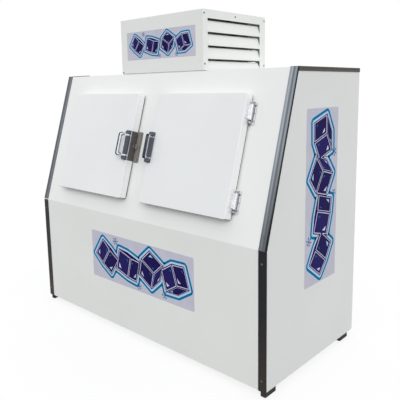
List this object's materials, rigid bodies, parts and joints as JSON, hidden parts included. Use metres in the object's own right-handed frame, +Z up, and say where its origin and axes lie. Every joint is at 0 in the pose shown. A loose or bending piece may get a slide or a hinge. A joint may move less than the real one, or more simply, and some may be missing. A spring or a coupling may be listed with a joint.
{
  "type": "ice merchandiser freezer",
  "caption": "Slant-front ice merchandiser freezer with insulated swing doors, chrome pull latches and a louvred roof hood over its condensing unit.",
  "frame": {"origin": "on the floor, under the centre of the object's box", "axes": "+Z up, +X along the width with the front seen from -Y, +Y from the front to the back"},
  "size_m": [1.86, 0.8976, 1.867],
  "materials": {
    "white_paint": "satin",
    "door_white": "satin",
    "galvanised": "satin",
    "foam": "matte",
    "liner_white": "satin",
    "white_plastic": "satin",
    "trim_grey": "satin",
    "trim_black": "gloss",
    "trim_bronze": "satin",
    "zinc": "satin",
    "rubber": "matte",
    "strike_grey": "satin",
    "chrome": "polished",
    "black_paint": "satin",
    "fins": "satin",
    "motor_grey": "satin",
    "fan_grey": "satin",
    "copper": "polished",
    "black_plastic": "matte",
    "film": "gloss",
    "gasket": "matte",
    "latch_slate": "satin"
  },
  "bodies": {
    "cabinet": {"side_panel_left": "white_paint", "side_panel_right": "white_paint", "front_panel": "white_paint", "back_panel": "white_paint", "roof_panel": "white_paint", "base_pan": "galvanised", "face_header": "white_paint", "face_sill": "white_paint", "face_posts": "white_paint", "wall_insulation": "foam", "face_insulation": "foam", "inner_liner": "liner_white", "breaker_strips": "white_plastic", "floor_rack": "galvanised", "slope_trims": "trim_grey", "front_trims": "trim_black", "roof_trims": "trim_bronze", "cabinet_screws": "zinc", "feet": "rubber", "strikes": "strike_grey", "hinge_butts": "chrome", "hinge_pins": "zinc", "hood_front": "white_paint", "hood_top": "white_paint", "hood_sides": "white_paint", "hood_back": "white_paint", "unit_base": "galvanised", "compressor": "black_paint", "condenser_coil": "fins", "fan_shroud": "galvanised", "fan_motors": "motor_grey", "liquid_receiver": "black_paint", "refrigerant_lines": "copper", "electrical_box": "galvanised", "cord_gland": "black_plastic", "evaporator_housing": "liner_white", "evaporator_coil": "fins", "thermostat": "white_plastic", "decals": "film"},
    "door_left": {"door_skin_left": "door_white", "door_core_left": "foam", "door_liner_left": "white_plastic", "door_gasket_left": "gasket", "hinge_leaves_left": "chrome", "latch_case_left": "latch_slate", "door_screws_left": "zinc"},
    "handle_left": {"latch_bail_left": "chrome"},
    "bolt_left": {"latch_bolt_left": "zinc"},
    "door_right": {"door_skin_right": "door_white", "door_core_right": "foam", "door_liner_right": "white_plastic", "door_gasket_right": "gasket", "hinge_leaves_right": "chrome", "latch_case_right": "latch_slate", "door_screws_right": "zinc"},
    "handle_right": {"latch_bail_right": "chrome"},
    "bolt_right": {"latch_bolt_right": "zinc"},
    "condenser_fan": {"condenser_fan": "fan_grey"},
    "evaporator_fan": {"evaporator_fan": "fan_grey"},
    "thermostat_knob": {"thermostat_knob": "black_plastic"}
  },
  "joints": [
    {"name": "door_left_hinge", "type": "hinge", "parent": "cabinet", "child": "door_left", "pos_m": [-0.716, -0.32016, 1.12153], "axis": [0, -0.2925, -0.9563], "range_deg": [0, 115]},
    {"name": "handle_left_pull", "type": "hinge", "parent": "door_left", "child": "handle_left", "pos_m": [-0.095, -0.36893, 1.13645], "axis": [0, 0.2925, 0.9563], "range_deg": [0, 22], "stiffness_Nm_per_rad": 1.5, "springref_deg": -17.19},
    {"name": "bolt_left_slide", "type": "slide", "parent": "door_left", "child": "bolt_left", "axis": [-1, 0, 0], "range_m": [0, 0.00705]},
    {"name": "door_right_hinge", "type": "hinge", "parent": "cabinet", "child": "door_right", "pos_m": [0.716, -0.32016, 1.12153], "axis": [0, 0.2925, 0.9563], "range_deg": [0, 115]},
    {"name": "handle_right_pull", "type": "hinge", "parent": "door_right", "child": "handle_right", "pos_m": [0.095, -0.36893, 1.13645], "axis": [0, -0.2925, -0.9563], "range_deg": [0, 22], "stiffness_Nm_per_rad": 1.5, "springref_deg": -17.19},
    {"name": "bolt_right_slide", "type": "slide", "parent": "door_right", "child": "bolt_right", "axis": [1, 0, 0], "range_m": [0, 0.00705]},
    {"name": "condenser_fan_spin", "type": "hinge", "parent": "cabinet", "child": "condenser_fan", "pos_m": [0.205, 0.07378, 1.704], "axis": [1, 0, 0], "continuous": true},
    {"name": "evaporator_fan_spin", "type": "hinge", "parent": "cabinet", "child": "evaporator_fan", "pos_m": [0, 0.09978, 1.3875], "axis": [0, -1, 0], "continuous": true},
    {"name": "thermostat_turn", "type": "hinge", "parent": "cabinet", "child": "thermostat_knob", "pos_m": [0.443, 0.08378, 1.41], "axis": [0, -1, 0], "range_deg": [-135, 135]}
  ],
  "couplings": [
    {"joint": "bolt_left_slide", "follows": "handle_left_pull", "m_per_rad": 0.01823},
    {"joint": "bolt_right_slide", "follows": "handle_right_pull", "m_per_rad": 0.01823}
  ]
}
